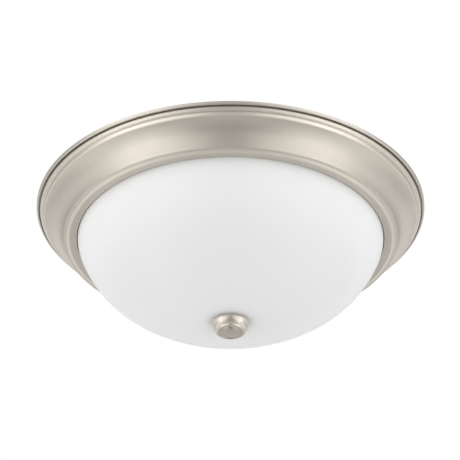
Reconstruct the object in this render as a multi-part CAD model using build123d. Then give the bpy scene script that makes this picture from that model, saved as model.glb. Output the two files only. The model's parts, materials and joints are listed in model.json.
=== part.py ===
from build123d import *
import os
from math import asin, cos, degrees, radians, sin, sqrt

# Flush mount ceiling light: a stepped metal pan hung on a ceiling strap, an opal glass
# bowl held up by a centre rod and a finial, and three screw-base lamps inside.
# Millimetres. The origin is the centre of the ceiling plane, +Z points up into the
# ceiling, and the whole fixture hangs below Z = 0. "Drop" is a distance below the ceiling.

# ---- Driving dimensions ------------------------------------------------------------

# Ceiling pan, pressed from sheet steel: rim, groove, two steps, a hollow cove, a small
# inner step and a lip with a flat underside
pan_diameter = 381.0
pan_sheet = 0.9
pan_plate_drop = 22.0  # ceiling to the top of the flat plate
rim_height = 2.9
rim_width = 2.0
rim_round = 1.5
groove_width = 1.4
groove_roof = 1.0  # metal left over the groove
first_step_drop = 6.8
first_step_round = 3.1
ledge_width = 0.6
second_step_drop = 10.9
second_step_round = 1.6
cove_width = 18.4
cove_drop = 33.3
cove_bow = 3.5  # how far the cove is hollowed from a straight slope
inner_ledge_width = 0.9
inner_step_width = 1.6
inner_step_fall = 0.6
lip_ledge_width = 0.6
lip_flank_width = 3.8
lip_drop = 35.3
lip_flat_width = 5.2
lip_round = 1.0
plate_rib_radius = 122.0
plate_rib_width = 9.0
plate_rib_height = 1.7

# Opal glass bowl
shade_wall = 3.2
shade_bottom_drop = 125.4
shade_collar_gap = 1.2  # between the collar and the lip of the pan
shade_seat_gap = 0.2  # between the top edge and the plate
shade_neck_drop = 30.3  # where the straight collar ends
shade_neck_radius = 40.0
shade_shoulder_rise = 24.4
shade_crown_drop = 16.8
shade_hole_radius = 5.5

# Centre rod, 1/4-27 thread, with its nuts
rod_diameter = 6.35
rod_above_nut = 1.5
nut_across_flats = 11.1
nut_height = 5.6
lock_washer_diameter = 11.6
lock_washer_thickness = 1.4
lock_washer_cut = 1.2
centre_plate_diameter = 50.0
centre_plate_thickness = 1.5

# Finial and the washers above it
rubber_washer_diameter = 28.0
rubber_washer_thickness = 1.0
steel_washer_diameter = 30.0
steel_washer_thickness = 0.6
finial_flange_diameter = 38.4
finial_edge_round = 0.5
finial_flange_height = 6.7
finial_flange_bow = 0.8
finial_waist_radius = 15.3
finial_waist_ledge = 0.4  # drop from the waist to the tier
finial_tier_radius = 14.4
finial_tier_round = 1.8
finial_recess_radius = 11.8
finial_recess_depth = 0.8
finial_button_radius = 8.4
finial_height = 9.4  # down to the button, which stands out past the tier
finial_floor = 1.8
thread_engagement = 7.4

# Ceiling strap and the screws that the pan hangs on
strap_length = 116.0
strap_width = 20.0
strap_thickness = 1.6
strap_burr_height = 1.8
strap_burr_wall = 1.2
box_screw_spacing = 88.9
box_slot_length = 12.0
box_slot_width = 4.8
strap_centre_hole = 10.4
pan_screw_spacing = 63.5
pan_screw_diameter = 4.17
pan_screw_head_diameter = 8.2
pan_screw_head_height = 2.8
pan_screw_nut_flats = 8.7
pan_screw_nut_height = 3.2
ground_screw_offset = 17.0
ground_screw_diameter = 4.8
ground_screw_flats = 7.9
ground_screw_head_height = 3.0
ground_screw_flange_radius = 5.6

# Keyholes in the pan
keyhole_twist = 20.0  # degrees from the narrow end to the wide end
keyhole_entry_diameter = 9.8

# Bushing where the supply leads enter the pan
bushing_offset = 42.0
bushing_body_diameter = 15.8
bushing_bore = 12.0
bushing_flange_diameter = 21.0
bushing_flange_thickness = 2.0
bushing_snap_diameter = 17.6
bushing_snap_height = 1.6

# Lampholders: three, lying flat and turned a third of a circle from each other
lamp_count = 3
lamp_offset = 60.0  # lamp axis to the centre rod
lamp_axis_drop = 58.0
holder_setback = 51.0  # back of the holder, behind the foot of the lamp offset
holder_wall = 4.3
holder_length = 38.0
holder_floor = 6.0
holder_back_step = 2.5  # how much smaller the back of the holder is
holder_back_length = 7.0
shell_wall = 0.45
shell_start = 7.0
shell_end = 34.0
contact_leaf_radius = 5.0
contact_leaf_thickness = 0.6
contact_tip_radius = 3.0
contact_tip_rise = 1.9
bracket_thickness = 1.2
bracket_width = 24.0
bracket_foot_length = 22.0
bracket_tail = 14.0  # how far the leg reaches below the lamp axis
rivet_diameter = 3.2
rivet_head_diameter = 5.6
rivet_head_height = 1.4
rivet_spacing = 14.0
rivet_setback = 14.0
holder_screw_diameter = 3.0
holder_screw_head_diameter = 5.8
holder_screw_head_height = 1.8
holder_screw_spacing = 16.0
holder_screw_depth = 4.5

# Lamps: 26 mm screw base, 60 mm round envelope
lamp_length = 110.0
lamp_diameter = 60.0
lamp_base_diameter = 26.0
lamp_base_wall = 0.4
lamp_tip_gap = 0.2
lamp_tip_radius = 4.75
lamp_tip_height = 1.2
lamp_insulator_height = 4.3
lamp_base_length = 19.0
lamp_neck_overhang = 0.6  # how far the neck stands out past the screw base
lamp_neck_start = 28.0  # from the tip of the lamp
lamp_wall = 1.2

# Clearances
thread_clearance = 0.05
finial_thread_clearance = 0.08
loose_clearance = 0.32
hole_clearance = 0.1
screw_shell_clearance = 0.35
shell_clearance = 0.4  # between the brass shell and the porcelain round it
head_gap = 0.15
soft_gap = 0.3

# ---- Sizes worked out from the driving dimensions ------------------------------------

pan_radius = pan_diameter / 2
groove_outer = pan_radius - rim_width
groove_inner = groove_outer - groove_width
ledge_outer = groove_inner - first_step_round
ledge_inner = ledge_outer - ledge_width
cove_outer = ledge_inner - second_step_round
cove_inner = cove_outer - cove_width
inner_step_outer = cove_inner - inner_ledge_width
inner_step_inner = inner_step_outer - inner_step_width
lip_flank_outer = inner_step_inner - lip_ledge_width
lip_flank_inner = lip_flank_outer - lip_flank_width
lip_flat_inner = lip_flank_inner - lip_flat_width
lip_radius = lip_flat_inner - lip_round
inner_step_drop = cove_drop + inner_step_fall
plate_under = pan_plate_drop + pan_sheet

shade_radius = lip_radius - shade_collar_gap
shade_top_drop = plate_under + shade_seat_gap

# The bowl's shoulder circle touches the neck circle and the crown circle from inside.
shoulder_drop = shade_neck_drop - shade_shoulder_rise
shoulder_radius = shade_bottom_drop - shoulder_drop - shade_crown_drop
neck_centre = shade_radius - shade_neck_radius
shoulder_centre = neck_centre - sqrt(
    (shoulder_radius - shade_neck_radius) ** 2 - shade_shoulder_rise**2
)
crown_radius = (
    shoulder_centre**2 + (shade_bottom_drop - shoulder_drop) ** 2 - shoulder_radius**2
) / (2 * shade_crown_drop)
crown_centre_z = crown_radius - shade_bottom_drop

rod_radius = rod_diameter / 2
washer_drop = shade_bottom_drop + soft_gap + rubber_washer_thickness
finial_top_drop = washer_drop + steel_washer_thickness
finial_bottom_drop = finial_top_drop + finial_height
rod_bottom_drop = finial_top_drop + thread_engagement
lock_washer_drop = pan_plate_drop - centre_plate_thickness
top_nut_drop = lock_washer_drop - lock_washer_thickness
rod_top_drop = top_nut_drop - nut_height - rod_above_nut

pan_screw_radius = pan_screw_diameter / 2
strap_burr_drop = strap_thickness + strap_burr_height
keyhole_ring = pan_screw_spacing / 2
keyhole_slot_width = pan_screw_diameter + 2 * loose_clearance

lamp_tip_start = holder_floor + contact_leaf_thickness + contact_tip_rise + lamp_tip_gap
shell_inner_radius = lamp_base_diameter / 2 + screw_shell_clearance
holder_bore_radius = shell_inner_radius + shell_wall + shell_clearance
holder_radius = holder_bore_radius + holder_wall
holder_back_radius = holder_radius - holder_back_step
lamp_neck_radius = lamp_base_diameter / 2 + lamp_neck_overhang
plate_above_lamp = lamp_axis_drop - plate_under


# ---- Helpers ---------------------------------------------------------------------------


def arc_about(centre, start, end):
    """The arc round a centre from start to end, less than half a turn."""
    middle = (Vector(*start) + Vector(*end)) / 2 - Vector(*centre)
    reach = (Vector(*start) - Vector(*centre)).length
    return ThreePointArc(start, Vector(*centre) + middle.normalized() * reach, end)


def bowed(start, end, bow):
    """An arc from start to end that bows to the left of the way it runs."""
    along = (Vector(*end) - Vector(*start)).normalized()
    middle = (Vector(*start) + Vector(*end)) / 2
    return ThreePointArc(start, middle + Vector(-along.Y, along.X) * bow, end)


def level_end(start, end):
    """An arc that falls inwards from start and is level where it ends."""
    across = start[0] - end[0]
    fall = start[1] - end[1]
    radius = (across**2 + fall**2) / (2 * fall)
    return arc_about((end[0], end[1] + radius), start, end)


def chords(arc, count):
    """Straight chords that follow an arc, for a face that isn't seen."""
    return Polyline(*[arc @ (index / count) for index in range(count + 1)]).edges()


def turned(*edges):
    """A solid turned about the Z axis from a closed outline of (radius, height)."""
    return revolve(Plane.XZ * make_face(Curve() + list(edges)), Axis.Z)


def turned_outline(*points):
    """A solid turned from a closed outline of straight lines."""
    return turned(*Polyline(*points, close=True).edges())


def ring(outer_radius, inner_radius, bottom, top):
    """A plain ring between two heights."""
    return turned_outline(
        (inner_radius, bottom),
        (outer_radius, bottom),
        (outer_radius, top),
        (inner_radius, top),
    )


def rod(radius, bottom, top, x=0.0, y=0.0):
    """A plain upright cylinder between two heights."""
    upright = Cylinder(radius, top - bottom, align=(Align.CENTER, Align.CENTER, Align.MIN))
    return Pos(x, y, bottom) * upright


def hexagon_block(across_flats, bottom, top):
    """A hexagon bar with its corners chamfered at both ends."""
    flat = across_flats / 2
    corner = flat / cos(radians(30))
    bevel = (corner - flat) * 0.6
    bar = Pos(0, 0, bottom) * extrude(RegularPolygon(flat, 6, major_radius=False), top - bottom)
    envelope = turned_outline(
        (0, bottom),
        (flat, bottom),
        (corner, bottom + bevel),
        (corner, top - bevel),
        (flat, top),
        (0, top),
    )
    return bar & envelope


def nut(across_flats, bore_radius, bottom, top):
    """A hexagon nut with a plain bore."""
    return hexagon_block(across_flats, bottom, top) - rod(bore_radius, bottom - 1, top + 1)


def low_head(radius, height, seat):
    """A low screw or rivet head, bevelled twice, that hangs down from its seat."""
    return turned_outline(
        (0, seat),
        (radius, seat),
        (0.94 * radius, seat - 0.45 * height),
        (0.6 * radius, seat - height),
        (0, seat - height),
    )


def both_sides(piece):
    """The piece and its copy turned half a circle about the centre rod."""
    return [piece, Rot(0, 0, 180) * piece]


def write(name, *solids):
    """Writes one node, made of one or more separate solids."""
    found = []
    for shape in solids:
        found.extend(shape.solids())
    whole = found[0] if len(found) == 1 else Compound(children=found)
    export_step(whole, f"parts/{name}.step")


# ---- Ceiling strap and its screws ------------------------------------------------------


def mounting_strap():
    """Flat bar with two box slots and tapped holes that are burred downwards."""
    bar = Pos(0, 0, -strap_thickness) * extrude(SlotOverall(strap_length, strap_width), strap_thickness)
    tapped = {
        0.0: strap_centre_hole / 2,
        -ground_screw_offset: ground_screw_diameter / 2 + thread_clearance,
        -keyhole_ring: pan_screw_radius + thread_clearance,
        keyhole_ring: pan_screw_radius + thread_clearance,
    }
    for x, radius in tapped.items():
        bar += rod(radius + strap_burr_wall, -strap_burr_drop, -strap_thickness / 2, x)
    for x, radius in tapped.items():
        bar -= rod(radius, -strap_burr_drop - 1, 1, x)
    slot = extrude(SlotOverall(box_slot_length, box_slot_width), 2 * strap_thickness, both=True)
    for side in (-1, 1):
        bar -= Pos(side * box_screw_spacing / 2, 0, 0) * slot
    return bar


def pan_screw():
    """Round-head screw that hangs from the strap and carries one keyhole of the pan."""
    seat = -plate_under - head_gap
    shank = rod(pan_screw_radius, seat - pan_screw_head_height / 2, -hole_clearance)
    head = low_head(pan_screw_head_diameter / 2, pan_screw_head_height, seat)
    slot_depth = pan_screw_head_height / 2
    driver_slot = Pos(0, 0, seat - pan_screw_head_height) * Box(
        pan_screw_head_diameter, pan_screw_head_diameter / 7, 2 * slot_depth
    )
    return Pos(keyhole_ring, 0, 0) * (shank + head - driver_slot)


def pan_screw_nut():
    """Lock nut that sets the height of a pan screw under the strap."""
    bore = pan_screw_radius + thread_clearance
    bottom = -strap_burr_drop - pan_screw_nut_height
    return Pos(keyhole_ring, 0, 0) * nut(pan_screw_nut_flats, bore, bottom, -strap_burr_drop)


def ground_screw():
    """Hexagon-head screw with a washer face, for the earth lead."""
    flange_bottom = -strap_burr_drop - ground_screw_head_height / 3
    shank = rod(ground_screw_diameter / 2, flange_bottom, -hole_clearance)
    flange = rod(ground_screw_flange_radius, flange_bottom, -strap_burr_drop)
    head = hexagon_block(
        ground_screw_flats, -strap_burr_drop - ground_screw_head_height, flange_bottom
    )
    return Pos(-ground_screw_offset, 0, 0) * (shank + flange + head)


# ---- Ceiling pan -----------------------------------------------------------------------


def pan_face_edges():
    """The side of the pan that is seen, from the ceiling inwards to the rod hole."""
    rib_out = plate_rib_radius + plate_rib_width / 2
    rib_in = plate_rib_radius - plate_rib_width / 2
    rim_corner = (pan_radius, rim_round - rim_height)
    rim_foot = (pan_radius - rim_round, -rim_height)
    step_one_top = (groove_inner, first_step_round - first_step_drop)
    step_one_foot = (ledge_outer, -first_step_drop)
    step_two_top = (ledge_inner, second_step_round - second_step_drop)
    cove_start = (cove_outer, -second_step_drop)
    cove_end = (cove_inner, -cove_drop)
    step_start = (inner_step_outer, -cove_drop)
    step_end = (inner_step_inner, -inner_step_drop)
    flank_start = (lip_flank_outer, -inner_step_drop)
    flank_end = (lip_flank_inner, -lip_drop)
    lip_foot = (lip_flat_inner, -lip_drop)
    lip_edge = (lip_radius, lip_round - lip_drop)
    return [
        Line((pan_radius, 0), rim_corner),
        arc_about((rim_foot[0], rim_corner[1]), rim_corner, rim_foot),
        Line(rim_foot, (groove_outer, -rim_height)),
        Line((groove_outer, -rim_height), (groove_outer, -groove_roof)),
        Line((groove_outer, -groove_roof), (groove_inner, -groove_roof)),
        Line((groove_inner, -groove_roof), step_one_top),
        arc_about((step_one_foot[0], step_one_top[1]), step_one_top, step_one_foot),
        Line(step_one_foot, (ledge_inner, -first_step_drop)),
        Line((ledge_inner, -first_step_drop), step_two_top),
        arc_about((cove_outer, step_two_top[1]), step_two_top, cove_start),
        bowed(cove_start, cove_end, -cove_bow),
        Line(cove_end, step_start),
        level_end(step_start, step_end),
        Line(step_end, flank_start),
        level_end(flank_start, flank_end),
        Line(flank_end, lip_foot),
        arc_about((lip_flat_inner, lip_edge[1]), lip_foot, lip_edge),
        Line(lip_edge, (lip_radius, -plate_under)),
        Line((lip_radius, -plate_under), (rib_out, -plate_under)),
        *chords(bowed((rib_out, -plate_under), (rib_in, -plate_under), -plate_rib_height), 3),
        Line((rib_in, -plate_under), (rod_radius + hole_clearance, -plate_under)),
    ]


def pan_back_edges():
    """The hidden side of the pan, from the rod hole outwards to the ceiling."""
    rib_out = plate_rib_radius + plate_rib_width / 2
    rib_in = plate_rib_radius - plate_rib_width / 2
    hole = rod_radius + hole_clearance
    slope = Vector(cove_width, cove_drop - second_step_drop).normalized() * pan_sheet
    cove_start = (cove_outer - slope.Y, slope.X - second_step_drop)
    cove_end = (cove_inner - slope.Y, slope.X - cove_drop)
    wall_foot = (lip_radius + pan_sheet, pan_sheet - lip_drop)
    flank_foot = (lip_flank_inner, pan_sheet - lip_drop)
    flank_top = (lip_flank_outer, pan_sheet - inner_step_drop)
    step_two_inner = ledge_inner - pan_sheet
    step_one_back = pan_sheet - first_step_drop
    step_one_top = (groove_inner - pan_sheet, first_step_round - first_step_drop)
    step_one_centre = (ledge_outer, step_one_top[1])
    step_one_bend = arc_about(step_one_centre, (ledge_outer, step_one_back), step_one_top)
    return [
        Line((hole, -plate_under), (hole, -pan_plate_drop)),
        Line((hole, -pan_plate_drop), (rib_in, -pan_plate_drop)),
        *chords(bowed((rib_in, -pan_plate_drop), (rib_out, -pan_plate_drop), plate_rib_height), 3),
        Line((rib_out, -pan_plate_drop), (lip_radius + pan_sheet, -pan_plate_drop)),
        Line((lip_radius + pan_sheet, -pan_plate_drop), wall_foot),
        Line(wall_foot, flank_foot),
        Line(flank_foot, flank_top),
        Line(flank_top, cove_end),
        *chords(bowed(cove_end, cove_start, cove_bow), 5),
        Line(cove_start, (step_two_inner, second_step_round - second_step_drop)),
        Line((step_two_inner, second_step_round - second_step_drop), (step_two_inner, step_one_back)),
        Line((step_two_inner, step_one_back), (ledge_outer, step_one_back)),
        *chords(step_one_bend, 3),
        Line(step_one_top, (step_one_top[0], 0)),
        Line((step_one_top[0], 0), (pan_radius, 0)),
    ]


def keyhole():
    """Curved slot with a wide end, cut round the centre rod."""
    track = SlotArc(CenterArc((0, 0), keyhole_ring, 0, keyhole_twist), keyhole_slot_width)
    entry = Rot(0, 0, keyhole_twist) * (Pos(keyhole_ring, 0) * Circle(keyhole_entry_diameter / 2))
    return Pos(0, 0, -plate_under - 1) * extrude(track + entry, pan_sheet + 2)


def ceiling_pan():
    """The pressed pan with its keyholes, lead hole and rivet holes."""
    pan = turned(*pan_face_edges(), *pan_back_edges())
    for cut in both_sides(keyhole()):
        pan -= cut
    hole_radius = bushing_body_diameter / 2 + hole_clearance
    pan -= rod(hole_radius, -plate_under - 1, -pan_plate_drop + 1, 0, -bushing_offset)
    for frame in lamp_frames():
        for side in (-1, 1):
            pan -= frame * rivet_place(side) * rod(rivet_diameter / 2, -3, 3)
    return pan


def lead_bushing():
    """Snap-in plastic bushing that lines the lead hole."""
    flange_bottom = -plate_under - bushing_flange_thickness
    snap_top = -pan_plate_drop + bushing_snap_height
    outline = turned_outline(
        (bushing_bore / 2, flange_bottom),
        (bushing_flange_diameter / 2 - 0.6, flange_bottom),
        (bushing_flange_diameter / 2, flange_bottom + 0.6),
        (bushing_flange_diameter / 2, -plate_under),
        (bushing_body_diameter / 2, -plate_under),
        (bushing_body_diameter / 2, -pan_plate_drop),
        (bushing_snap_diameter / 2, -pan_plate_drop),
        (bushing_body_diameter / 2 - 0.4, snap_top),
        (bushing_bore / 2, snap_top),
    )
    return Pos(0, -bushing_offset, 0) * outline


# ---- Centre rod ------------------------------------------------------------------------


def centre_rod():
    """Long threaded rod from the plate down into the finial, with chamfered ends."""
    chamfer_size = 0.6
    return turned_outline(
        (0, -rod_bottom_drop),
        (rod_radius - chamfer_size, -rod_bottom_drop),
        (rod_radius, -rod_bottom_drop + chamfer_size),
        (rod_radius, -rod_top_drop - chamfer_size),
        (rod_radius - chamfer_size, -rod_top_drop),
        (0, -rod_top_drop),
    )


def rod_nut(bottom):
    """One of the two nuts that clamp the rod to the plate."""
    return nut(nut_across_flats, rod_radius + thread_clearance, bottom, bottom + nut_height)


def lock_washer():
    """Split spring washer under the top nut."""
    bottom = -lock_washer_drop
    washer = ring(lock_washer_diameter / 2, rod_radius + hole_clearance, bottom, -top_nut_drop)
    cut = Pos(lock_washer_diameter / 2, 0, bottom) * Box(
        lock_washer_diameter, lock_washer_cut, 3 * lock_washer_thickness
    )
    return washer - cut


def centre_plate():
    """Thick round plate that spreads the pull of the rod over the thin pan."""
    return ring(
        centre_plate_diameter / 2,
        rod_radius + hole_clearance,
        -pan_plate_drop,
        -lock_washer_drop,
    )


# ---- Glass bowl, washers and finial ------------------------------------------------------


def bowl_arcs(inset):
    """The arcs of one face of the bowl: the neck, the shoulder and the crown."""
    crown = crown_radius - inset
    shoulder = shoulder_radius - inset
    neck = shade_neck_radius - inset
    neck_turn = asin(shade_shoulder_rise / (shoulder_radius - shade_neck_radius))
    crown_turn = asin(shoulder_centre / (crown_radius - shoulder_radius))
    collar_foot = (shade_radius - inset, -shade_neck_drop)
    neck_foot = (
        neck_centre + neck * cos(neck_turn),
        -shade_neck_drop - neck * sin(neck_turn),
    )
    shoulder_foot = (crown * sin(crown_turn), crown_centre_z - crown * cos(crown_turn))
    hole_edge = (shade_hole_radius, crown_centre_z - sqrt(crown**2 - shade_hole_radius**2))
    return [
        arc_about((neck_centre, -shade_neck_drop), collar_foot, neck_foot),
        arc_about((shoulder_centre, -shoulder_drop), neck_foot, shoulder_foot),
        arc_about((0, crown_centre_z), shoulder_foot, hole_edge),
    ]


def glass_shade():
    """Blown opal bowl of even wall, with a hole for the rod."""
    outer_arcs = bowl_arcs(0)
    inner_arcs = bowl_arcs(shade_wall)
    outer_top = (shade_radius, -shade_top_drop)
    inner_top = (shade_radius - shade_wall, -shade_top_drop)
    return turned(
        Line(inner_top, outer_top),
        Line(outer_top, outer_arcs[0] @ 0),
        *outer_arcs,
        Line(outer_arcs[-1] @ 1, inner_arcs[-1] @ 1),
        *[chord for arc in inner_arcs for chord in chords(arc, 4)],
        Line(inner_arcs[0] @ 0, inner_top),
    )


def rubber_washer():
    """Washer shaped to the crown of the bowl, with a spigot that lines its hole."""
    seat_radius = crown_radius + soft_gap
    bore = rod_radius + loose_clearance
    spigot = shade_hole_radius - soft_gap
    outer = rubber_washer_diameter / 2
    spigot_foot = (spigot, crown_centre_z - sqrt(seat_radius**2 - spigot**2))
    rim_top = (outer, crown_centre_z - sqrt(seat_radius**2 - outer**2))
    spigot_top = shade_wall - shade_bottom_drop
    return turned_outline(
        (bore, -washer_drop),
        (outer, -washer_drop),
        rim_top,
        spigot_foot,
        (spigot, spigot_top),
        (bore, spigot_top),
    )


def finial_washer():
    """Flat steel washer between the rubber and the finial."""
    return ring(
        steel_washer_diameter / 2, rod_radius + loose_clearance, -finial_top_drop, -washer_drop
    )


def finial():
    """Turned knob: a flange that narrows to a waist, a small tier, and a button in a recess."""
    edge_radius = finial_flange_diameter / 2 - finial_edge_round
    edge_top = (edge_radius, -finial_top_drop)
    edge_side = (finial_flange_diameter / 2, -finial_top_drop - finial_edge_round)
    waist = (finial_waist_radius, -finial_top_drop - finial_flange_height)
    tier_side = (finial_tier_radius, waist[1] - finial_waist_ledge)
    tier_foot = (finial_tier_radius - finial_tier_round, tier_side[1] - finial_tier_round)
    recess_roof = tier_foot[1] + finial_recess_depth
    bore = rod_radius + finial_thread_clearance
    bore_roof = finial_floor - finial_bottom_drop
    return turned(
        Line((bore, -finial_top_drop), edge_top),
        arc_about((edge_radius, edge_side[1]), edge_top, edge_side),
        bowed(edge_side, waist, finial_flange_bow),
        Line(waist, tier_side),
        arc_about((tier_foot[0], tier_side[1]), tier_side, tier_foot),
        Line(tier_foot, (finial_recess_radius, tier_foot[1])),
        Line((finial_recess_radius, tier_foot[1]), (finial_recess_radius, recess_roof)),
        Line((finial_recess_radius, recess_roof), (finial_button_radius, recess_roof)),
        Line((finial_button_radius, recess_roof), (finial_button_radius, -finial_bottom_drop)),
        Line((finial_button_radius, -finial_bottom_drop), (0, -finial_bottom_drop)),
        Line((0, -finial_bottom_drop), (0, bore_roof)),
        Line((0, bore_roof), (bore, bore_roof)),
        Line((bore, bore_roof), (bore, -finial_top_drop)),
    )


# ---- Lampholders -------------------------------------------------------------------------
# Each lampholder is built on its own axes: Z along the lamp towards its nose from the back
# of the holder, X upwards to the pan.


def lamp_frames():
    """The planes that carry the three lampholders, turned evenly about the rod."""
    frames = []
    for index in range(lamp_count):
        turn = radians(index * 360 / lamp_count)
        outward = Vector(-sin(turn), cos(turn), 0)
        towards_nose = Vector(-cos(turn), -sin(turn), 0)
        foot = outward * lamp_offset - towards_nose * holder_setback
        frames.append(
            Plane(foot - Vector(0, 0, lamp_axis_drop), x_dir=(0, 0, 1), z_dir=towards_nose)
        )
    return frames


def rivet_place(side):
    """Where a rivet goes through the pan and the bracket's foot, its own Z pointing up."""
    return Location(
        Plane(
            (plate_above_lamp, side * rivet_spacing / 2, rivet_setback),
            x_dir=(0, 1, 0),
            z_dir=(1, 0, 0),
        )
    )


def holder_screw_place(side):
    """Where a screw goes through the bracket's leg, its own Z pointing into the holder."""
    return Pos(0, side * holder_screw_spacing / 2, 0)


def lampholder_body():
    """Porcelain cup with a stepped back and two screw holes."""
    mouth = holder_length
    lip = 1.2
    cup = turned_outline(
        (0, 0),
        (holder_back_radius, 0),
        (holder_back_radius, holder_back_length),
        (holder_radius, holder_back_length + lip),
        (holder_radius, mouth - lip),
        (holder_radius - lip, mouth),
        (holder_bore_radius, mouth),
        (holder_bore_radius, holder_floor),
        (0, holder_floor),
    )
    for side in (-1, 1):
        hole = rod(holder_screw_diameter / 2 + thread_clearance, -1, holder_screw_depth + 0.5)
        cup -= holder_screw_place(side) * hole
    return cup


def screw_shell():
    """Thin brass sleeve that the lamp base screws into."""
    return ring(shell_inner_radius + shell_wall, shell_inner_radius, shell_start, shell_end)


def centre_contact():
    """Brass leaf on the floor of the holder, with a raised tip."""
    leaf_top = holder_floor + contact_leaf_thickness
    tip_top = leaf_top + contact_tip_rise
    return turned_outline(
        (0, holder_floor),
        (contact_leaf_radius, holder_floor),
        (contact_leaf_radius, leaf_top),
        (contact_tip_radius, leaf_top),
        (contact_tip_radius - contact_leaf_thickness, tip_top),
        (0, tip_top),
    )


def lampholder_bracket():
    """Steel angle: a leg behind the holder and a foot under the plate."""
    leg_height = plate_above_lamp + bracket_tail
    leg = Pos(plate_above_lamp - leg_height / 2, 0, -bracket_thickness / 2) * Box(
        leg_height, bracket_width, bracket_thickness
    )
    foot_length = bracket_foot_length + bracket_thickness
    foot = Pos(plate_above_lamp - bracket_thickness / 2, 0, bracket_foot_length / 2)
    angle = leg + Pos(0, 0, -bracket_thickness / 2) * foot * Box(
        bracket_thickness, bracket_width, foot_length
    )
    tail_corners = angle.edges().filter_by(Axis.Z).group_by(Axis.X)[0]
    angle = fillet(tail_corners, bracket_width / 4)
    for side in (-1, 1):
        angle -= rivet_place(side) * rod(rivet_diameter / 2, -3, 3)
        angle -= holder_screw_place(side) * rod(holder_screw_diameter / 2 + hole_clearance, -3, 3)
    return angle


def bracket_rivet(side):
    """Rivet with a low head under the foot and a closed tail above the plate."""
    head = low_head(rivet_head_diameter / 2, rivet_head_height, -bracket_thickness)
    tail_height = rivet_head_height * 0.7
    tail = rod(rivet_head_diameter / 2.3, pan_sheet, pan_sheet + tail_height)
    shank = rod(rivet_diameter / 2, -bracket_thickness - 0.2, pan_sheet + 0.2)
    return rivet_place(side) * (head + shank + tail)


def holder_screw(side):
    """Short screw that holds the lampholder to its bracket."""
    radius = holder_screw_head_diameter / 2
    head = low_head(radius, holder_screw_head_height, -bracket_thickness)
    shank = rod(holder_screw_diameter / 2, -bracket_thickness - 0.3, holder_screw_depth)
    return holder_screw_place(side) * (head + shank)


# ---- Lamps -------------------------------------------------------------------------------


def lamp_tip_contact():
    """Round contact at the end of the lamp base."""
    foot = lamp_tip_start
    bevel = lamp_tip_height / 3
    return turned_outline(
        (0, foot),
        (lamp_tip_radius - bevel, foot),
        (lamp_tip_radius, foot + bevel),
        (lamp_tip_radius, foot + lamp_tip_height),
        (0, foot + lamp_tip_height),
    )


def lamp_insulator():
    """Black glass cone between the tip contact and the screw sleeve of the lamp."""
    foot = lamp_tip_start + lamp_tip_height
    top = foot + lamp_insulator_height
    sleeve = lamp_base_diameter / 2 - lamp_base_wall
    return turned_outline(
        (0, foot),
        (lamp_tip_radius, foot),
        (sleeve - 1.0, top),
        (sleeve - 1.0, top + 1.0),
        (0, top + 1.0),
    )


def lamp_base_sleeve():
    """Screw sleeve of the lamp, turned in at its foot over the insulator."""
    foot = lamp_tip_start + lamp_tip_height + lamp_insulator_height
    top = foot + lamp_base_length
    outer = lamp_base_diameter / 2
    inner = outer - lamp_base_wall
    return turned_outline(
        (inner - 0.9, foot),
        (inner - 0.3, foot),
        (outer, foot + 1.5),
        (outer, top),
        (inner, top),
        (inner, foot + 1.2),
        (inner - 0.9, foot + 1.2),
    )


def envelope_arcs(inset):
    """The arcs of one face of the lamp's envelope, from its neck to its nose."""
    ball = lamp_diameter / 2
    ball_z = lamp_tip_start + lamp_length - ball
    neck_z = lamp_tip_start + lamp_neck_start
    rise = ball_z - neck_z
    flare = (rise**2 + lamp_neck_radius**2 - ball**2) / (2 * (ball - lamp_neck_radius))
    flare_centre = (lamp_neck_radius + flare, neck_z)
    reach = ball + flare
    touch = (
        (ball - inset) * flare_centre[0] / reach,
        ball_z - (ball - inset) * rise / reach,
    )
    neck_foot = (lamp_neck_radius - inset, neck_z)
    nose = (0, ball_z + ball - inset)
    side = (ball - inset, ball_z)
    return [
        arc_about(flare_centre, neck_foot, touch),
        arc_about((0, ball_z), touch, side),
        arc_about((0, ball_z), side, nose),
    ]


def lamp_envelope():
    """Opal glass envelope, hollow, with a narrower foot inside the screw sleeve."""
    outer_arcs = envelope_arcs(0)
    inner_arcs = envelope_arcs(lamp_wall)
    neck = outer_arcs[0] @ 0
    foot_radius = lamp_base_diameter / 2 - lamp_base_wall - thread_clearance
    foot_z = neck.Y - 5.0
    shoulder_z = neck.Y - 0.6
    foot_edges = Polyline(
        neck,
        (neck.X, shoulder_z),
        (foot_radius, shoulder_z),
        (foot_radius, foot_z),
        (foot_radius - lamp_wall, foot_z),
        inner_arcs[0] @ 0,
    ).edges()
    return turned(
        *outer_arcs,
        *[chord for arc in inner_arcs for chord in chords(arc, 2)],
        Line(outer_arcs[-1] @ 1, inner_arcs[-1] @ 1),
        *foot_edges,
    )


# ---- Write every node ------------------------------------------------------------------


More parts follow.
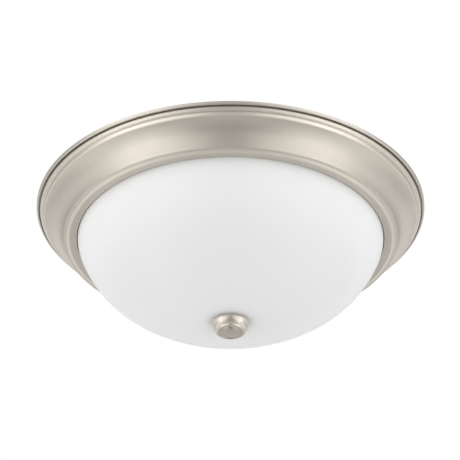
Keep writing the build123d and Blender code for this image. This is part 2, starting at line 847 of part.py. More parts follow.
def write_all():
    os.makedirs("parts", exist_ok=True)

    write("mounting_strap", mounting_strap())
    write("pan_screws", *both_sides(pan_screw()))
    write("pan_screw_nuts", *both_sides(pan_screw_nut()))
    write("ground_screw", ground_screw())

    write("ceiling_pan", ceiling_pan())
    write("lead_bushing", lead_bushing())
    write("centre_plate", centre_plate())
    write("rod_lock_washer", lock_washer())
    write("rod_top_nut", rod_nut(-top_nut_drop))
    write("rod_bottom_nut", rod_nut(-plate_under - nut_height))
    write("centre_rod", centre_rod())

    write("glass_shade", glass_shade())
    write("rubber_washer", rubber_washer())
    write("finial_washer", finial_washer())
    write("finial", finial())

    rivets = []
    screws = []
    for index, frame in enumerate(lamp_frames(), start=1):
        write(f"lampholder_bracket_{index}", frame * lampholder_bracket())
        write(f"lampholder_body_{index}", frame * lampholder_body())
        write(f"screw_shell_{index}", frame * screw_shell())
        write(f"centre_contact_{index}", frame * centre_contact())
        write(f"lamp_tip_contact_{index}", frame * lamp_tip_contact())
        write(f"lamp_insulator_{index}", frame * lamp_insulator())
        write(f"lamp_base_{index}", frame * lamp_base_sleeve())
        write(f"lamp_envelope_{index}", frame * lamp_envelope())
        rivets += [frame * bracket_rivet(side) for side in (-1, 1)]
        screws += [frame * holder_screw(side) for side in (-1, 1)]
    write("bracket_rivets", *rivets)
    write("lampholder_screws", *screws)


write_all()
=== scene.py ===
import json
import math

import bmesh
import bpy
from mathutils import Matrix, Vector


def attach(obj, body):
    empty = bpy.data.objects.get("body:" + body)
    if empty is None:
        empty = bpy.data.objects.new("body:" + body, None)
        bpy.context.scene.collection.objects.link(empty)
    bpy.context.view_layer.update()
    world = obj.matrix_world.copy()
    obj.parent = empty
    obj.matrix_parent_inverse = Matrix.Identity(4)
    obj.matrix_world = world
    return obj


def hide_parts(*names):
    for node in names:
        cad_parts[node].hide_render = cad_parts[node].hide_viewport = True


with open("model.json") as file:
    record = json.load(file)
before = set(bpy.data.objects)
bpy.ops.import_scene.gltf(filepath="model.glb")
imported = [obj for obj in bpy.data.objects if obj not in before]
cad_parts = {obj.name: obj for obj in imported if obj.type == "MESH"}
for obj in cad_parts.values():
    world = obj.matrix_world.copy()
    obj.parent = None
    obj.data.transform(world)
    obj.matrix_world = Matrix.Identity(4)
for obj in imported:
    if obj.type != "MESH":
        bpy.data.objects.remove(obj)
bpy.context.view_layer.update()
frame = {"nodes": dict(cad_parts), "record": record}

# Flush mount ceiling light, seen from below. Metres; the ceiling is the plane Z = 0 and
# the light hangs down from it. The near side, at the top of the photograph, is -Y.

MM = 0.001

# ---- Camera ----------------------------------------------------------------------------

CAMERA_ELEVATION = math.radians(32.8)  # below the ceiling plane, looking up
CAMERA_DISTANCE = 2.4765
CAMERA_LENS = 196.76  # on a sensor 36 mm wide
AIM_BELOW_ORIGIN = 0.0169
AIM_LEFT_OF_ORIGIN = 0.00055

# ---- Light -----------------------------------------------------------------------------
# Square soft panels round the light: degrees from the near side, degrees above the
# ceiling plane, and watts.

PANEL_SIZE = 0.9
PANEL_DISTANCE = 1.7
PANEL_AIM = (0, 0, -0.05)
PANELS = (
    (30, 0, 1.4), (30, 25, 2.7), (30, -25, 2.1),
    (60, 0, 2.1), (60, 25, 4.5), (60, -25, 3.3), (60, -50, 2.0),
    (90, 0, 1.1), (90, -25, 1.0), (90, -50, 1.2),
    (120, 0, 1.2), (120, -25, 0.6), (120, -50, 1.3),
    (150, 0, 1.6), (150, -25, 0.9), (150, -50, 1.4),
    (180, 0, 1.3), (180, -25, 0.6), (180, -90, 0.9),
)
AROUND = 0.37  # strength of the even light from the world
FLOOR_LEVEL = -2.9
FLOOR_HALF_WIDTH = 9.0

# ---- Sizes that the new pieces share with the solids -------------------------------------

ROD_RADIUS = 3.175 * MM
ROD_TOP = -12.0 * MM
ROD_BOTTOM = -134.7 * MM
ROD_PITCH = 25.4 / 27 * MM
LAMP_OFFSET = 60.0 * MM
LAMP_SETBACK = 51.0 * MM
LAMP_AXIS_Z = -58.0 * MM
LAMP_PITCH = 3.63 * MM
RIVET_SIDE = 7.0 * MM
RIVET_ALONG_LAMP = 14.0 * MM

# The pan's holes, in millimetres as the outlines are
RIVET_HOLE_RADIUS = 1.6
LEAD_HOLE_SETBACK = 42.0
LEAD_HOLE_RADIUS = 8.0
PAN_CUT_BOTTOM = -24.0
PAN_CUT_TOP = -20.5

# ---- Fineness of the new meshes ------------------------------------------------------------

PAN_SIDES = 256
BOWL_SIDES = 192
FINIAL_SIDES = 128
ENVELOPE_SIDES = 72
ON_AXIS = 0.001  # millimetres: points nearer the axis than this become one vertex
THREAD_FADE = 1.5 * MM
ROD_END_CHAMFER = 1.28  # times the depth of the thread
SMOOTH_BELOW = math.radians(32)


# ---- Node helpers ------------------------------------------------------------------------


class Paint:
    """A material and short calls that add and link its nodes."""

    def __init__(self, name):
        self.material = bpy.data.materials.new(name)
        self.material.use_nodes = True
        self.tree = self.material.node_tree
        self.tree.nodes.clear()
        self.shader = self.add("ShaderNodeBsdfPrincipled")
        output = self.add("ShaderNodeOutputMaterial")
        self.tree.links.new(self.shader.outputs[0], output.inputs["Surface"])

    def add(self, kind, **values):
        node = self.tree.nodes.new(kind)
        for key, value in values.items():
            setattr(node, key, value)
        return node

    def link(self, source, target):
        self.tree.links.new(source, target)

    def set(self, **values):
        for key, value in values.items():
            self.shader.inputs[key.replace("_", " ")].default_value = value

    def place(self):
        """The point on the object, in metres."""
        return self.add("ShaderNodeTexCoord").outputs["Object"]

    def noise(self, scale, detail, roughness=0.5, vector=None):
        node = self.add("ShaderNodeTexNoise")
        node.inputs["Scale"].default_value = scale
        node.inputs["Detail"].default_value = detail
        node.inputs["Roughness"].default_value = roughness
        self.link(vector if vector is not None else self.place(), node.inputs["Vector"])
        return node.outputs["Fac"]

    def math(self, operation, first, second=None):
        node = self.add("ShaderNodeMath", operation=operation)
        for index, value in enumerate((first, second)):
            if value is None:
                continue
            if isinstance(value, (int, float)):
                node.inputs[index].default_value = value
            else:
                self.link(value, node.inputs[index])
        return node.outputs[0]

    def spread(self, source, low, high, start, end):
        """source, from start to end, mapped to low to high."""
        node = self.add("ShaderNodeMapRange")
        node.inputs["From Min"].default_value = start
        node.inputs["From Max"].default_value = end
        node.inputs["To Min"].default_value = low
        node.inputs["To Max"].default_value = high
        self.link(source, node.inputs["Value"])
        return node.outputs["Result"]

    def blend(self, factor, first, second):
        node = self.add("ShaderNodeMix", data_type="RGBA")
        for socket, value in ((node.inputs[6], first), (node.inputs[7], second)):
            if isinstance(value, tuple):
                socket.default_value = (*value, 1.0)
            else:
                self.link(value, socket)
        self.link(factor, node.inputs[0])
        return node.outputs[2]

    def color(self, factor, first, second):
        self.link(self.blend(factor, first, second), self.shader.inputs["Base Color"])

    def roughness(self, source, low, high):
        """Roughness from low to high over the middle of the noise's range."""
        self.link(self.spread(source, low, high, 0.3, 0.7), self.shader.inputs["Roughness"])

    def bump(self, height, strength, distance):
        node = self.add("ShaderNodeBump")
        node.inputs["Strength"].default_value = strength
        node.inputs["Distance"].default_value = distance
        self.link(height, node.inputs["Height"])
        self.link(node.outputs["Normal"], self.shader.inputs["Normal"])

    def split_place(self):
        split = self.add("ShaderNodeSeparateXYZ")
        self.link(self.place(), split.inputs[0])
        return split.outputs

    def radius(self):
        """The distance from the Z axis, in metres."""
        x, y, _ = self.split_place()
        squares = self.math("ADD", self.math("MULTIPLY", x, x), self.math("MULTIPLY", y, y))
        return self.math("SQRT", squares)

    def turned_place(self, radial, around, upward):
        """Radius, angle and height, each scaled, for marks that run round the Z axis."""
        x, y, z = self.split_place()
        radius = self.radius()
        angle = self.math("ARCTAN2", y, x)
        join = self.add("ShaderNodeCombineXYZ")
        self.link(self.math("MULTIPLY", radius, radial), join.inputs[0])
        self.link(self.math("MULTIPLY", angle, around), join.inputs[1])
        self.link(self.math("MULTIPLY", z, upward), join.inputs[2])
        return join.outputs[0]


# ---- Materials ---------------------------------------------------------------------------


def satin_nickel(name, first, second, rough, painted_light_bands=()):
    """Brushed and lacquered nickel: fine marks round the axis and a soft sheen. The bands given are
    rings of painted highlight or painted shade in the base colour, each (least radius, greatest
    radius, colour), in millimetres."""
    fade = 0.25
    paint = Paint(name)
    paint.set(Metallic=1.0)
    cloud = paint.noise(9.0, 3.0)
    base = paint.blend(paint.spread(cloud, 0.0, 1.0, 0.35, 0.65), first, second)
    # each band paints its ring lighter, a painted highlight, or darker, a painted shade
    for low, high, other in painted_light_bands:
        radius = paint.radius()
        inside = paint.spread(radius, 0.0, 1.0, (low - fade) * MM, (low + fade) * MM)
        outside = paint.spread(radius, 1.0, 0.0, (high - fade) * MM, (high + fade) * MM)
        base = paint.blend(paint.math("MULTIPLY", inside, outside), base, other)
    paint.link(base, paint.shader.inputs["Base Color"])
    brushed = paint.noise(1.0, 3.0, 0.6, paint.turned_place(5200.0, 1.3, 5200.0))
    paint.roughness(brushed, rough - 0.03, rough + 0.04)
    paint.bump(brushed, 0.05, 0.00003)
    return paint.material


def opal_glass(name):
    """White opal glass with a satin skin and a little depth."""
    paint = Paint(name)
    cloud = paint.noise(6.0, 2.0)
    paint.color(paint.spread(cloud, 0.0, 1.0, 0.3, 0.7), (0.90, 0.905, 0.90), (0.93, 0.93, 0.925))
    paint.roughness(paint.noise(40.0, 2.0), 0.40, 0.46)
    paint.set(Subsurface_Weight=0.35, Subsurface_Radius=(0.006, 0.006, 0.006), Subsurface_Scale=1.0)
    paint.bump(paint.noise(14.0, 2.0), 0.04, 0.0004)
    return paint.material


def lamp_glass(name):
    """The white, slightly glossy glass of a frosted lamp."""
    paint = Paint(name)
    paint.color(paint.noise(60.0, 3.0), (0.88, 0.88, 0.86), (0.94, 0.94, 0.93))
    paint.roughness(paint.noise(300.0, 2.0), 0.28, 0.36)
    paint.set(Subsurface_Weight=0.2, Subsurface_Radius=(0.004, 0.004, 0.004), Subsurface_Scale=1.0)
    paint.bump(paint.noise(500.0, 2.0), 0.05, 0.0001)
    return paint.material


def zinc_steel(name):
    """Zinc-plated steel: faint spangle and a bluish cast."""
    paint = Paint(name)
    paint.set(Metallic=1.0)
    cells = paint.add("ShaderNodeTexVoronoi")
    cells.inputs["Scale"].default_value = 260.0
    paint.link(paint.place(), cells.inputs["Vector"])
    split = paint.add("ShaderNodeSeparateXYZ")
    paint.link(cells.outputs["Color"], split.inputs[0])
    paint.color(split.outputs[0], (0.56, 0.57, 0.58), (0.68, 0.69, 0.70))
    paint.roughness(paint.noise(90.0, 4.0), 0.28, 0.42)
    paint.bump(paint.noise(900.0, 3.0), 0.06, 0.00005)
    return paint.material


def plated(name, first, second, rough):
    """A plain rolled or plated metal with slight tarnish."""
    paint = Paint(name)
    paint.set(Metallic=1.0)
    paint.color(paint.spread(paint.noise(120.0, 5.0), 0.0, 1.0, 0.35, 0.7), first, second)
    paint.roughness(paint.noise(200.0, 3.0), rough - 0.06, rough + 0.08)
    paint.bump(paint.noise(1500.0, 2.0), 0.05, 0.00004)
    return paint.material


def moulded(name, first, second, rough, grain, depth):
    """Moulded plastic, rubber or cast glass, by its grain and gloss."""
    paint = Paint(name)
    paint.color(paint.noise(70.0, 3.0), first, second)
    paint.roughness(paint.noise(150.0, 3.0), rough - 0.04, rough + 0.06)
    paint.bump(paint.noise(grain, 3.0), 0.15, depth)
    return paint.material


def porcelain(name):
    """Glazed white porcelain."""
    paint = Paint(name)
    paint.color(paint.noise(80.0, 4.0), (0.86, 0.85, 0.82), (0.92, 0.91, 0.88))
    paint.roughness(paint.noise(60.0, 2.0), 0.12, 0.2)
    paint.set(Coat_Weight=0.6, Coat_Roughness=0.06)
    paint.bump(paint.noise(120.0, 3.0), 0.12, 0.0002)
    return paint.material


def green_plating(name):
    """The green plating of a ground screw."""
    paint = Paint(name)
    paint.set(Metallic=0.7)
    paint.color(paint.noise(250.0, 4.0), (0.03, 0.24, 0.09), (0.06, 0.36, 0.14))
    paint.roughness(paint.noise(300.0, 3.0), 0.3, 0.42)
    paint.bump(paint.noise(1500.0, 2.0), 0.06, 0.00004)
    return paint.material


def all_materials():
    return {
        "satin_nickel_pan": satin_nickel(
            "satin_nickel_pan", (0.595, 0.55, 0.485), (0.635, 0.59, 0.525), 0.42,
            (
                (157.4, 160.8, (0.72, 0.675, 0.605)),  # the inner step, painted lighter: a painted highlight
                (182.0, 186.8, (0.71, 0.665, 0.595)),  # the two steps, painted lighter: a painted highlight
                (187.2, 188.4, (0.32, 0.29, 0.25)),  # the groove, painted dark: painted shade in the crease
            ),
        ),
        # The finial gets the pan's nickel painted about an eighth lighter: painted light, for the
        # brighter light on its flange.
        "satin_nickel_finial": satin_nickel(
            "satin_nickel_finial", (0.665, 0.617, 0.55), (0.705, 0.66, 0.59), 0.32
        ),
        "opal_glass": opal_glass("opal_glass"),
        "lamp_glass": lamp_glass("lamp_glass"),
        "zinc_steel": zinc_steel("zinc_steel"),
        "green_screw": green_plating("green_screw"),
        "brass": plated("brass", (0.74, 0.55, 0.26), (0.82, 0.64, 0.34), 0.25),
        "lamp_base_aluminium": plated(
            "lamp_base_aluminium", (0.74, 0.74, 0.75), (0.84, 0.84, 0.84), 0.24
        ),
        "lamp_tip": plated("lamp_tip", (0.50, 0.50, 0.49), (0.68, 0.67, 0.64), 0.38),
        "black_glass": moulded(
            "black_glass", (0.012, 0.012, 0.014), (0.03, 0.03, 0.032), 0.12, 200.0, 0.0001
        ),
        "porcelain": porcelain("porcelain"),
        "white_nylon": moulded(
            "white_nylon", (0.80, 0.80, 0.76), (0.87, 0.87, 0.84), 0.45, 1800.0, 0.00004
        ),
        "rubber": moulded(
            "rubber", (0.60, 0.60, 0.585), (0.68, 0.68, 0.665), 0.55, 1500.0, 0.00006
        ),
    }


# ---- Smooth shading of the solids ----------------------------------------------------------


def smoothing_group(angle):
    """Geometry nodes that join the mesh's seams and smooth every edge flatter than angle."""
    group = bpy.data.node_groups.new("smooth_by_angle", "GeometryNodeTree")
    group.interface.new_socket("Geometry", in_out="INPUT", socket_type="NodeSocketGeometry")
    group.interface.new_socket("Geometry", in_out="OUTPUT", socket_type="NodeSocketGeometry")
    nodes, links = group.nodes, group.links
    source = nodes.new("NodeGroupInput")
    target = nodes.new("NodeGroupOutput")
    plain = nodes.new("GeometryNodeRemoveAttribute")
    plain.inputs["Name"].default_value = "custom_normal"
    weld = nodes.new("GeometryNodeMergeByDistance")
    weld.inputs["Distance"].default_value = 0.000002
    faces = nodes.new("GeometryNodeSetShadeSmooth")
    faces.domain = "FACE"
    edges = nodes.new("GeometryNodeSetShadeSmooth")
    edges.domain = "EDGE"
    bend = nodes.new("GeometryNodeInputMeshEdgeAngle")
    flat = nodes.new("FunctionNodeCompare")
    flat.data_type = "FLOAT"
    flat.operation = "LESS_EQUAL"
    flat.inputs["B"].default_value = angle
    links.new(source.outputs[0], plain.inputs["Geometry"])
    links.new(plain.outputs["Geometry"], weld.inputs["Geometry"])
    links.new(weld.outputs["Geometry"], faces.inputs["Geometry"])
    links.new(faces.outputs["Geometry"], edges.inputs["Geometry"])
    links.new(bend.outputs["Unsigned Angle"], flat.inputs["A"])
    links.new(flat.outputs["Result"], edges.inputs["Shade Smooth"])
    links.new(edges.outputs["Geometry"], target.inputs[0])
    return group


# ---- New pieces ----------------------------------------------------------------------------


def new_piece(name, mesh, material, body, slot, *replaced):
    """An object that rides on body and, where given, stands for some of the solids."""
    piece = bpy.data.objects.new(name, mesh)
    bpy.context.scene.collection.objects.link(piece)
    mesh.materials.append(material)
    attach(piece, body)
    if replaced:
        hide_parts(*replaced)
    return piece


# ---- Turned pieces -------------------------------------------------------------------------
# Outlines are lists of (radius, height) in millimetres, the same as in the solids, with
# every hard corner eased a little so that it catches the light. Two places differ: the
# ring gap between glass and lip is 0.5 wide here and 1.2 in the solids, and the finial's
# top lies 0.03 lower, clear of its washer.


class Outline:
    """A closed outline of lines and finely divided arcs."""

    def __init__(self, radius, height):
        self.points = [(radius, height)]

    def line(self, *ends):
        self.points.extend(ends)
        return self

    def round(self, centre, end, step=6.0):
        """An arc round centre to end, less than half a turn."""
        start = self.points[-1]
        first = math.atan2(start[1] - centre[1], start[0] - centre[0])
        last = math.atan2(end[1] - centre[1], end[0] - centre[0])
        turn = (last - first + math.pi) % (2 * math.pi) - math.pi
        reach = math.hypot(start[0] - centre[0], start[1] - centre[1])
        count = max(2, math.ceil(abs(math.degrees(turn)) / step))
        for index in range(1, count):
            angle = first + turn * index / count
            across, upward = reach * math.cos(angle), reach * math.sin(angle)
            self.points.append((centre[0] + across, centre[1] + upward))
        self.points.append(end)
        return self

    def bow(self, end, bow, step=6.0):
        """An arc to end that bows to the left of its way, or to the right for a bow below 0."""
        start = self.points[-1]
        across = (end[0] - start[0], end[1] - start[1])
        length = math.hypot(*across)
        radius = (length * length / 4 + bow * bow) / (2 * bow)
        left = (-across[1] / length, across[0] / length)
        middle = ((start[0] + end[0]) / 2, (start[1] + end[1]) / 2)
        centre = (middle[0] + left[0] * (bow - radius), middle[1] + left[1] * (bow - radius))
        return self.round(centre, end, step)

    def eased(self, radius, least_turn=20.0):
        """The points, with each corner sharper than least_turn degrees rounded to radius."""
        result = []
        count = len(self.points)
        for index, here in enumerate(self.points):
            before, after = self.points[index - 1], self.points[(index + 1) % count]
            come = Vector(here) - Vector(before)
            leave = Vector(after) - Vector(here)
            turn = come.angle(leave, 0.0)
            if math.degrees(turn) < least_turn or here[0] < ON_AXIS:
                result.append(here)
                continue
            back = min(radius * math.tan(turn / 2), 0.4 * come.length, 0.4 * leave.length)
            first = Vector(here) - come.normalized() * back
            last = Vector(here) + leave.normalized() * back
            for share in (0.0, 0.33, 0.67, 1.0):
                bend = first.lerp(Vector(here), share).lerp(Vector(here).lerp(last, share), share)
                result.append((bend.x, bend.y))
        return result


def turned_mesh(name, outline, count):
    """Turns a closed outline about the Z axis. Points on the axis become one vertex."""
    work = bmesh.new()
    rings = []
    for radius, height in outline:
        if radius < ON_AXIS:
            rings.append([work.verts.new((0, 0, height * MM))] * count)
            continue
        ring = []
        for index in range(count):
            angle = 2 * math.pi * index / count
            place = (radius * math.cos(angle), radius * math.sin(angle), height)
            ring.append(work.verts.new([value * MM for value in place]))
        rings.append(ring)
    for row, ring in enumerate(rings):
        below = rings[(row + 1) % len(rings)]
        for index in range(count):
            after = (index + 1) % count
            corners = list(dict.fromkeys((ring[index], ring[after], below[after], below[index])))
            if len(corners) > 2:
                work.faces.new(corners)
    bmesh.ops.recalc_face_normals(work, faces=work.faces)
    mesh = bpy.data.meshes.new(name)
    work.to_mesh(mesh)
    work.free()
    return mesh


def prisms_mesh(name, outlines, bottom, top):
    """Upright prisms, one for each outline of (x, y), in millimetres."""
    work = bmesh.new()
    for outline in outlines:
        low = [work.verts.new((x * MM, y * MM, bottom * MM)) for x, y in outline]
        high = [work.verts.new((x * MM, y * MM, top * MM)) for x, y in outline]
        work.faces.new(list(reversed(low)))
        work.faces.new(high)
        for index in range(len(outline)):
            after = (index + 1) % len(outline)
            work.faces.new((low[index], low[after], high[after], high[index]))
    bmesh.ops.recalc_face_normals(work, faces=work.faces)
    mesh = bpy.data.meshes.new(name)
    work.to_mesh(mesh)
    work.free()
    return mesh


def circle_outline(x, y, radius, count=40):
    """A circle as a list of (x, y)."""
    turns = [2 * math.pi * index / count for index in range(count)]
    return [(x + radius * math.cos(turn), y + radius * math.sin(turn)) for turn in turns]


def reach_across(ring, half, angle):
    """Where a ray from the centre meets a circle of radius half that sits on the ring."""
    inside = half * half - (ring * math.sin(angle)) ** 2
    if inside < 0:
        return None
    middle = ring * math.cos(angle)
    return middle - math.sqrt(inside), middle + math.sqrt(inside)


def keyhole_outline(turned=0.0):
    """A slot on a ring round the centre rod, with a wide round end."""
    ring, half, entry, twist = 31.75, 2.405, 4.9, math.radians(20)
    start, end = -math.asin(half / ring), twist + math.asin(entry / ring)
    inner, outer = [], []
    for step in range(61):
        angle = start + (end - start) * (0.0005 + 0.999 * step / 60)
        spans = [reach_across(ring, half, angle), reach_across(ring, entry, angle - twist)]
        if 0 <= angle <= twist:
            spans.append((ring - half, ring + half))
        spans = [span for span in spans if span]
        low, high = min(span[0] for span in spans), max(span[1] for span in spans)
        inner.append((low * math.cos(angle + turned), low * math.sin(angle + turned)))
        outer.append((high * math.cos(angle + turned), high * math.sin(angle + turned)))
    return outer + inner[::-1]


def lamp_matrix(number):
    """The lampholder's own axes in the row frame: Z to the lamp's nose, X up."""
    turn = math.radians(120 * (number - 1))
    outward = Vector((-math.sin(turn), math.cos(turn), 0))
    nose = Vector((-math.cos(turn), -math.sin(turn), 0))
    up = Vector((0, 0, 1))
    side = nose.cross(up)
    origin = outward * LAMP_OFFSET - nose * LAMP_SETBACK + up * LAMP_AXIS_Z
    columns = Matrix((up, side, nose)).transposed().to_4x4()
    return Matrix.Translation(origin) @ columns


def pan_outline():
    """The pressed sheet: rim, groove, two steps, hollow cove, inner step, lip and plate."""
    pan = Outline(190.5, 0.0).line((190.5, -1.4)).round((189.0, -1.4), (189.0, -2.9))
    pan.line((188.5, -2.9), (188.5, -1.0), (187.1, -1.0), (187.1, -3.7))
    pan.round((184.0, -3.7), (184.0, -6.8)).line((183.4, -6.8), (183.4, -9.3))
    pan.round((181.8, -9.3), (181.8, -10.9)).bow((163.4, -33.3), -3.5, 4.0)
    pan.line((162.5, -33.3)).round((160.9, -31.467), (160.9, -33.9)).line((160.3, -33.9))
    pan.round((156.5, -29.443), (156.5, -35.3)).line((151.3, -35.3))
    pan.round((151.3, -34.0), (150.0, -34.0)).line((150.0, -22.9), (126.5, -22.9))
    pan.bow((117.5, -22.9), -1.7).line((3.28, -22.9), (3.28, -22.0), (117.5, -22.0))
    pan.bow((126.5, -22.0), 1.7).line((151.2, -22.0), (151.2, -34.4), (156.5, -34.4))
    pan.line((160.3, -33.0), (162.705, -32.729)).bow((181.105, -10.329), 3.5, 6.0)
    pan.line((182.5, -9.3), (182.5, -5.9), (184.0, -5.9))
    return pan.round((184.0, -3.7), (186.2, -3.7)).line((186.2, 0.0))


def bowl_outline():
    """The bowl: a straight collar, then three arcs that run into each other, and back inside."""
    wall, collar, neck, shoulder = 3.2, 149.5, 40.0, 102.7
    rise, top, neck_z, bottom, crown_drop, hole = 24.4, -23.1, -30.3, -125.4, 16.8, 5.5
    shoulder_z = neck_z + rise
    neck_x = collar - neck
    shoulder_x = neck_x - math.sqrt((shoulder - neck) ** 2 - rise**2)
    crown = (shoulder_x**2 + (bottom - shoulder_z) ** 2 - shoulder**2) / (2 * crown_drop)
    crown_z = crown + bottom
    neck_turn = math.asin(rise / (shoulder - neck))
    crown_turn = math.asin(shoulder_x / (crown - shoulder))

    def joints(inset):
        low = neck - inset
        wide = crown - inset
        return (
            (neck_x + low * math.cos(neck_turn), neck_z - low * math.sin(neck_turn)),
            (wide * math.sin(crown_turn), crown_z - wide * math.cos(crown_turn)),
            (hole, crown_z - math.sqrt(wide**2 - hole**2)),
        )

    out, inside = joints(0.0), joints(wall)
    bowl = Outline(collar, top).line((collar, neck_z)).round((neck_x, neck_z), out[0], 3.0)
    bowl.round((shoulder_x, shoulder_z), out[1], 2.0).round((0, crown_z), out[2], 1.0)
    bowl.line(inside[2]).round((0, crown_z), inside[1], 1.5)
    bowl.round((shoulder_x, shoulder_z), inside[0], 3.0)
    return bowl.round((neck_x, neck_z), (collar - wall, neck_z), 4.0).line((collar - wall, top))


def finial_outline():
    """The knob: a flange that narrows to its waist, a small tier, and a button in a recess."""
    knob = Outline(3.255, -127.33).line((18.7, -127.33)).round((18.7, -127.83), (19.2, -127.83))
    knob.bow((15.3, -134.0), 0.8, 3.0).line((14.4, -134.4)).round((12.6, -134.4), (12.6, -136.2))
    knob.line((11.8, -136.2), (11.8, -135.4), (8.4, -135.4), (8.4, -136.7), (0.0, -136.7))
    return knob.line((0.0, -134.9), (3.255, -134.9))


def envelope_outline():
    """A lamp's envelope, along its own axis, with a narrow foot inside the screw base."""
    wall, ball, neck = 1.2, 30.0, 13.6
    ball_z, neck_z = 8.7 + 110.0 - ball, 8.7 + 28.0
    rise = ball_z - neck_z
    flare = (rise**2 + neck**2 - ball**2) / (2 * (ball - neck))
    reach = ball + flare
    flare_at = (neck + flare, neck_z)

    def touch(inset):
        share = (ball - inset) / reach
        return (flare_at[0] * share, ball_z - rise * share)

    lamp = Outline(neck, neck_z).round(flare_at, touch(0.0), 4.0)
    lamp.round((0, ball_z), (ball, ball_z), 4.0)
    lamp.round((0, ball_z), (0.0, ball_z + ball), 4.0).line((0.0, ball_z + ball - wall))
    lamp.round((0, ball_z), (ball - wall, ball_z), 10.0).round((0, ball_z), touch(wall), 10.0)
    lamp.round(flare_at, (neck - wall, neck_z), 10.0)
    lamp.line((11.35, neck_z - 5.0), (12.55, neck_z - 5.0))
    return lamp.line((12.55, neck_z - 0.6), (neck, neck_z - 0.6))


def cut_holes(mesh, cutter_mesh):
    """The mesh less the cutter, both taken out of the scene again."""
    target = bpy.data.objects.new("cut_target", mesh)
    cutter = bpy.data.objects.new("cut_tool", cutter_mesh)
    for piece in (target, cutter):
        bpy.context.scene.collection.objects.link(piece)
    modifier = target.modifiers.new("cut", "BOOLEAN")
    modifier.operation = "DIFFERENCE"
    modifier.object = cutter
    modifier.solver = "EXACT"
    bpy.context.view_layer.update()
    graph = bpy.context.evaluated_depsgraph_get()
    result = bpy.data.meshes.new_from_object(target.evaluated_get(graph))
    for piece in (target, cutter):
        bpy.data.objects.remove(piece)
    return result


def make_turned_pieces(paints, smooth):
    """Finely divided pan, bowl, finial and lamps, which stand for the solids' meshes."""
    holes = [keyhole_outline(), keyhole_outline(math.pi)]
    holes.append(circle_outline(0, -LEAD_HOLE_SETBACK, LEAD_HOLE_RADIUS))
    for number in (1, 2, 3):
        place = lamp_matrix(number)
        for side in (-RIVET_SIDE, RIVET_SIDE):
            hole = place @ Vector((0, side, RIVET_ALONG_LAMP))
            holes.append(circle_outline(hole.x / MM, hole.y / MM, RIVET_HOLE_RADIUS, 20))
    cutter = prisms_mesh("pan_holes", holes, PAN_CUT_BOTTOM, PAN_CUT_TOP)
    pan = cut_holes(turned_mesh("pan_sheet", pan_outline().eased(0.3), PAN_SIDES), cutter)
    bowl = turned_mesh("bowl_glass", bowl_outline().eased(0.8), BOWL_SIDES)
    knob = turned_mesh("finial_knob", finial_outline().eased(0.25), FINIAL_SIDES)
    pieces = [
        new_piece(
            "pan_turned", pan, paints["satin_nickel_pan"],
            "fixture", "satin_nickel_pan", "ceiling_pan",
        ),
        new_piece(
            "bowl_turned", bowl, paints["opal_glass"], "bowl", "opal_glass", "glass_shade",
        ),
        new_piece(
            "finial_turned", knob, paints["satin_nickel_finial"],
            "finial_knob", "satin_nickel_finial", "finial",
        ),
    ]
    for number in (1, 2, 3):
        glass = turned_mesh(f"envelope_{number}", envelope_outline().eased(0.3), ENVELOPE_SIDES)
        glass.transform(lamp_matrix(number))
        pieces.append(new_piece(
            f"lamp_envelope_turned_{number}", glass, paints["lamp_glass"],
            f"lamp_{number}", "lamp_glass", f"lamp_envelope_{number}",
        ))
    for piece in pieces:
        piece.modifiers.new("smooth_by_angle", "NODES").node_group = smooth


# ---- Threaded pieces -----------------------------------------------------------------------


def tube_mesh(name, rings, rows):
    """Smooth quads through rings of points, each closed on itself. With as many rows as
    rings the last ring runs into the first, and with one less the two ends get caps."""
    mesh = bpy.data.meshes.new(name)
    count = len(rings[0])
    points = [point for ring in rings for point in ring]
    faces = []
    for row in range(rows):
        here, below = row * count, (row + 1) % len(rings) * count
        for column in range(count):
            after = (column + 1) % count
            faces.append((here + column, here + after, below + after, below + column))
    if rows < len(rings):
        faces.append(tuple(reversed(range(count))))
        faces.append(tuple(rows * count + column for column in range(count)))
    mesh.from_pydata(points, [], faces)
    mesh.update()
    for polygon in mesh.polygons:
        polygon.use_smooth = len(polygon.vertices) == 4
    return mesh


def threaded_ring(z, radius, depth, pitch, count):
    """One ring of a helical thread: radius at the crest, depth down to the root."""
    ring = []
    for index in range(count):
        angle = 2 * math.pi * index / count
        wave = 0.5 + 0.5 * math.cos(2 * math.pi * z / pitch - angle)
        reach = radius - depth * (1 - wave)
        ring.append(Vector((reach * math.cos(angle), reach * math.sin(angle), z)))
    return ring


def threaded_rod(name, radius, bottom, top, pitch, depth, count=28, per_turn=7):
    """A rod with a helical thread and chamfered ends, along Z."""
    steps = max(2, round((top - bottom) / pitch * per_turn))
    rings = []
    for step in range(steps + 1):
        z = bottom + (top - bottom) * step / steps
        from_end = min(z - bottom, top - z)
        chamfer = max(0.0, ROD_END_CHAMFER * depth - from_end)
        ring = threaded_ring(z, radius, depth, pitch, count)
        limit = radius - chamfer
        for point in ring:
            reach = math.hypot(point.x, point.y)
            if reach > limit:
                point.x *= limit / reach
                point.y *= limit / reach
        rings.append(ring)
    return tube_mesh(name, rings, len(rings) - 1)


def threaded_sleeve(name, start, end, radius, wall, plain_start, plain_end, depth, steps):
    """A thin sleeve along Z with a lamp's thread, which fades out at both ends. All but
    steps are in millimetres."""
    sides = 72
    low, high = start * MM, end * MM
    outer, inner = [], []
    for step in range(steps + 1):
        z = low + (high - low) * step / steps
        share = min(1.0, max(0.0, (z - low - plain_start * MM) / THREAD_FADE))
        share = min(share, max(0.0, (high - plain_end * MM - z) / THREAD_FADE))
        for rings, reach in ((outer, radius * MM), (inner, radius * MM - wall * MM)):
            rings.append(threaded_ring(z, reach, depth * MM * share, LAMP_PITCH, sides))
    rings = outer + inner[::-1]
    return tube_mesh(name, rings, len(rings))


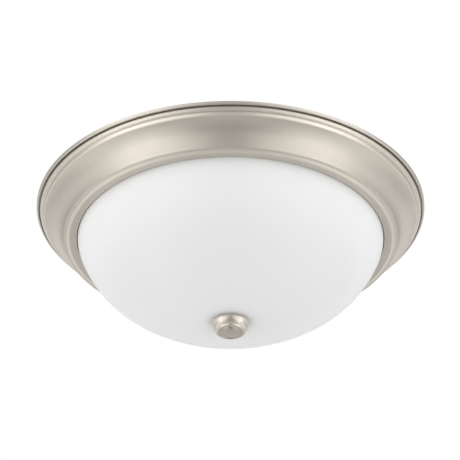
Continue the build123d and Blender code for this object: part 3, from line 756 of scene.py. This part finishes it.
def make_threads(paints):
    """The threads of the rod, the lamp bases and the screw shells."""
    rod = threaded_rod("rod_thread", ROD_RADIUS, ROD_BOTTOM, ROD_TOP, ROD_PITCH, 0.42 * MM)
    new_piece(
        "centre_rod_threaded", rod, paints["zinc_steel"], "fixture", "zinc_steel", "centre_rod",
    )
    for number in (1, 2, 3):
        base = threaded_sleeve(
            f"lamp_base_thread_{number}", start=14.2, end=33.2, radius=13.0, wall=0.3,
            plain_start=1.2, plain_end=3.0, depth=0.55, steps=76,
        )
        base.transform(lamp_matrix(number))
        new_piece(
            f"lamp_base_threaded_{number}", base, paints["lamp_base_aluminium"],
            f"lamp_{number}", "lamp_base_aluminium", f"lamp_base_{number}",
        )
        shell = threaded_sleeve(
            f"shell_thread_{number}", start=7.0, end=34.0, radius=13.8, wall=0.25,
            plain_start=2.0, plain_end=1.5, depth=0.45, steps=108,
        )
        shell.transform(lamp_matrix(number))
        new_piece(
            f"screw_shell_threaded_{number}", shell, paints["brass"],
            "fixture", "brass", f"screw_shell_{number}",
        )


# ---- Camera, floor and light ---------------------------------------------------------------


def make_camera():
    """The photograph's viewpoint, below the ceiling and square on to the near side."""
    back = Vector((0, -math.cos(CAMERA_ELEVATION), -math.sin(CAMERA_ELEVATION)))
    up = Vector((0, -math.sin(CAMERA_ELEVATION), math.cos(CAMERA_ELEVATION)))
    aside = Vector((-AIM_LEFT_OF_ORIGIN, 0, 0))
    aim = aside - up * AIM_BELOW_ORIGIN
    data = bpy.data.cameras.new("camera")
    data.lens = CAMERA_LENS
    data.sensor_width = 36.0
    data.clip_start = 0.05
    data.clip_end = 60.0
    camera = bpy.data.objects.new("camera", data)
    camera.location = aside + back * CAMERA_DISTANCE
    camera.rotation_euler = (aim - camera.location).to_track_quat("-Z", "Y").to_euler()
    bpy.context.scene.collection.objects.link(camera)
    bpy.context.scene.camera = camera


def make_panel(name, place, power):
    """A soft white panel that faces the light."""
    data = bpy.data.lights.new(name, "AREA")
    data.shape = "RECTANGLE"
    data.size = PANEL_SIZE
    data.size_y = PANEL_SIZE
    data.energy = power
    panel = bpy.data.objects.new(name, data)
    panel.location = place
    panel.rotation_euler = (Vector(PANEL_AIM) - place).to_track_quat("-Z", "Y").to_euler()
    panel.visible_camera = False
    bpy.context.scene.collection.objects.link(panel)


def make_floor():
    """A plain grey floor far under the light."""
    mesh = bpy.data.meshes.new("floor")
    half, level = FLOOR_HALF_WIDTH, FLOOR_LEVEL
    mesh.from_pydata(
        [(-half, -half, level), (half, -half, level), (half, half, level), (-half, half, level)],
        [],
        [(0, 1, 2, 3)],
    )
    floor = bpy.data.objects.new("floor", mesh)
    bpy.context.scene.collection.objects.link(floor)
    paint = Paint("floor")
    paint.color(paint.noise(0.6, 2.0), (0.62, 0.62, 0.61), (0.66, 0.66, 0.65))
    paint.set(Roughness=0.8)
    mesh.materials.append(paint.material)


def make_world():
    """White behind the object, and a softer studio round it for light and reflections."""
    world = bpy.data.worlds.new("studio")
    bpy.context.scene.world = world
    world.use_nodes = True
    tree = world.node_tree
    tree.nodes.clear()
    output = tree.nodes.new("ShaderNodeOutputWorld")
    mix = tree.nodes.new("ShaderNodeMixShader")
    path = tree.nodes.new("ShaderNodeLightPath")
    seen = tree.nodes.new("ShaderNodeBackground")
    seen.inputs["Color"].default_value = (1.0, 1.0, 1.0, 1.0)
    seen.inputs["Strength"].default_value = 1.0
    around = tree.nodes.new("ShaderNodeBackground")
    around.inputs["Color"].default_value = (0.98, 0.99, 1.0, 1.0)
    around.inputs["Strength"].default_value = AROUND
    tree.links.new(path.outputs["Is Camera Ray"], mix.inputs[0])
    tree.links.new(around.outputs[0], mix.inputs[1])
    tree.links.new(seen.outputs[0], mix.inputs[2])
    tree.links.new(mix.outputs[0], output.inputs["Surface"])


def make_studio():
    """A tent of soft panels, the same on the left and on the right."""
    make_floor()
    make_world()
    for azimuth, elevation, power in PANELS:
        for side in (-1, 1) if 0 < azimuth < 180 else (1,):
            turn, tilt = math.radians(side * azimuth), math.radians(elevation)
            level = math.cos(tilt)
            toward = Vector((math.sin(turn) * level, -math.cos(turn) * level, math.sin(tilt)))
            make_panel(f"panel_{side * azimuth}_{elevation}", toward * PANEL_DISTANCE, power)


# ---- Put it together -------------------------------------------------------------------------


def main():
    """The stage, the solids' materials, and the finer pieces that stand for some solids."""
    bpy.context.scene.view_settings.view_transform = "Standard"
    make_camera()
    make_studio()
    paints = all_materials()
    slot_of = {part["node"]: part["material_slot"] for part in frame["record"]["subparts"]}
    smooth = smoothing_group(SMOOTH_BELOW)
    for name, piece in frame["nodes"].items():
        piece.data.materials.clear()
        piece.data.materials.append(paints[slot_of[name]])
        piece.modifiers.new("smooth_by_angle", "NODES").node_group = smooth
    make_turned_pieces(paints, smooth)
    make_threads(paints)


main()
